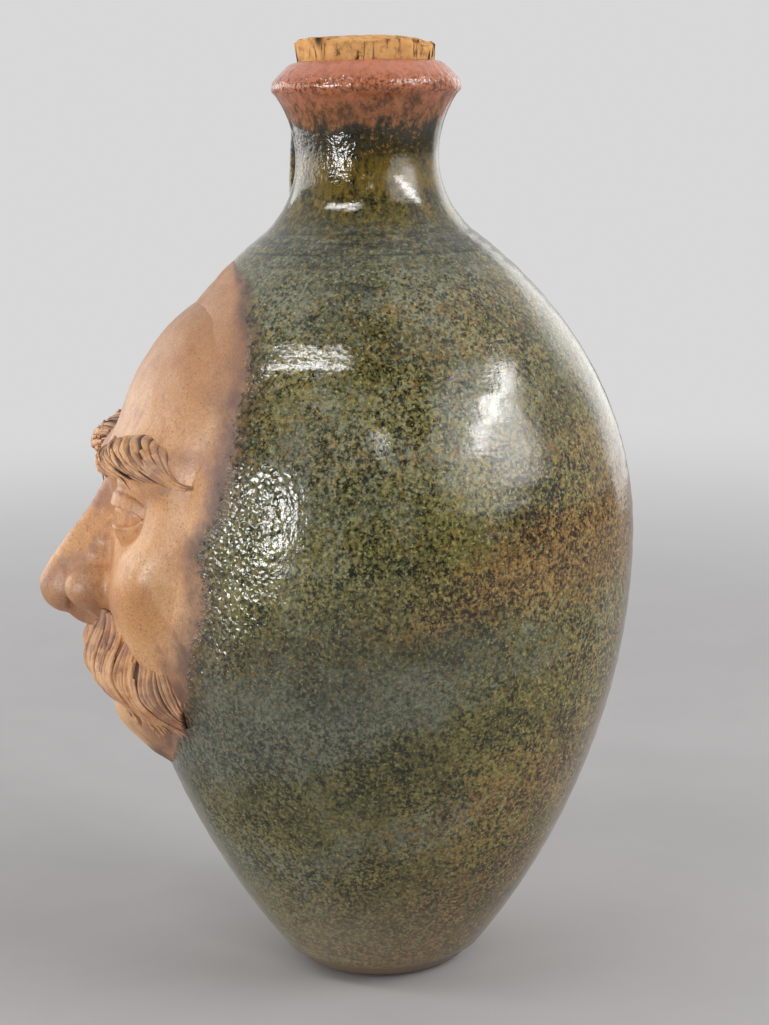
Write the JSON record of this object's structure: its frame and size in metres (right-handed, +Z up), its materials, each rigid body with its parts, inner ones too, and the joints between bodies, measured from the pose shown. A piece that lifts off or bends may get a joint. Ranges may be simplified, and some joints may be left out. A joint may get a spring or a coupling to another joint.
{
  "type": "face jug",
  "caption": "Wheel-thrown stoneware jug with a green ash glaze, a moustached clay face, a strap handle and a cork.",
  "frame": {"origin": "centre of the flat foot, on the throwing axis of the jug", "axes": "+Z up along the throwing axis; -Y is the way the face looks; +X is the face's own left; the handle stands on -X"},
  "size_m": [0.1516, 0.1746, 0.2715],
  "materials": {
    "ash_glaze": "glossy, mottled green and brown",
    "bare_clay": "unglazed, light sheen",
    "combed_clay": "unglazed, combed strands",
    "cork": "natural cork, dark pores"
  },
  "bodies": {
    "jug": {"jug_body": "ash_glaze", "handle": "ash_glaze", "forehead": "bare_clay", "cheek_left": "bare_clay", "cheek_right": "bare_clay", "chin": "bare_clay", "nose": "bare_clay", "nostril_left": "bare_clay", "nostril_right": "bare_clay", "eyeball_left": "bare_clay", "eyeball_right": "bare_clay", "upper_eyelid_left": "bare_clay", "upper_eyelid_right": "bare_clay", "lower_eyelid_left": "bare_clay", "lower_eyelid_right": "bare_clay", "lower_lip": "bare_clay", "eyebrow_left": "combed_clay", "eyebrow_right": "combed_clay", "moustache_left": "combed_clay", "moustache_right": "combed_clay"},
    "cork": {"cork_stopper": "cork"}
  },
  "joints": [
    {"name": "cork_lift", "type": "slide", "parent": "jug", "child": "cork", "axis": [0, 0, 1], "range_m": [0, 0.045]}
  ]
}
